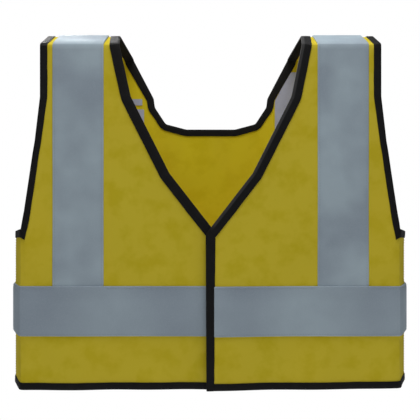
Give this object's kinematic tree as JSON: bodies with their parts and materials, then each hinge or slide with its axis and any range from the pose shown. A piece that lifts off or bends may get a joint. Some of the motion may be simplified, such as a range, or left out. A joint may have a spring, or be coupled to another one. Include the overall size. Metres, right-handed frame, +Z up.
{
  "type": "high visibility vest",
  "caption": "Sleeveless high visibility safety vest with reflective shoulder braces and belt, black edge binding and a lapped hook and loop front that opens.",
  "frame": {"origin": "midway between the two shoulder seams, on the inner face of the fabric, where a hanger or the wearer's shoulders hold the vest", "axes": "+X towards the wearer's left, -Y out of the front of the vest, +Z up"},
  "size_m": [0.6064, 0.1157, 0.5343],
  "materials": {
    "yellow_fabric": "matte fluorescent yellow knitted polyester",
    "reflective_tape": "satin silver grey retroreflective coated tape",
    "edge_binding": "matte black woven binding tape",
    "hook_and_loop": "matte black hook and loop pile",
    "label_cloth": "smooth pale grey woven label cloth"
  },
  "bodies": {
    "root": {"back_panel": "yellow_fabric", "left_front_panel": "yellow_fabric", "right_front_panel": "yellow_fabric", "neck_binding": "edge_binding", "hem_binding": "edge_binding", "left_armhole_binding": "edge_binding", "right_armhole_binding": "edge_binding", "back_belt_tape": "reflective_tape", "left_brace_tape": "reflective_tape", "right_brace_tape": "reflective_tape", "left_belt_tape": "reflective_tape", "right_belt_tape": "reflective_tape", "size_label": "label_cloth", "neck_facing_patch": "label_cloth"},
    "left_flap": {"left_front_flap": "yellow_fabric", "left_flap_binding": "edge_binding", "left_flap_belt_tape": "reflective_tape", "upper_loop_strip": "hook_and_loop", "lower_loop_strip": "hook_and_loop"},
    "right_flap": {"right_front_flap": "yellow_fabric", "right_flap_binding": "edge_binding", "right_flap_belt_tape": "reflective_tape", "upper_hook_strip": "hook_and_loop", "lower_hook_strip": "hook_and_loop"},
    "care_label": {"care_label": "label_cloth"}
  },
  "joints": [
    {"name": "left_front_opening", "type": "hinge", "parent": "root", "child": "left_flap", "pos_m": [0.132, -0.0553, -0.3], "axis": [0, 0, 1], "range_deg": [0, 150]},
    {"name": "right_front_opening", "type": "hinge", "parent": "root", "child": "right_flap", "pos_m": [-0.132, -0.0553, -0.3], "axis": [0, 0, -1], "range_deg": [0, 75]},
    {"name": "care_label_flip", "type": "hinge", "parent": "root", "child": "care_label", "pos_m": [-0.129, 0.0514, -0.104], "axis": [-1, 0, 0], "range_deg": [0, 100]}
  ],
  "couplings": [
    {"joint": "right_front_opening", "follows": "left_front_opening", "ratio": 0.5}
  ]
}
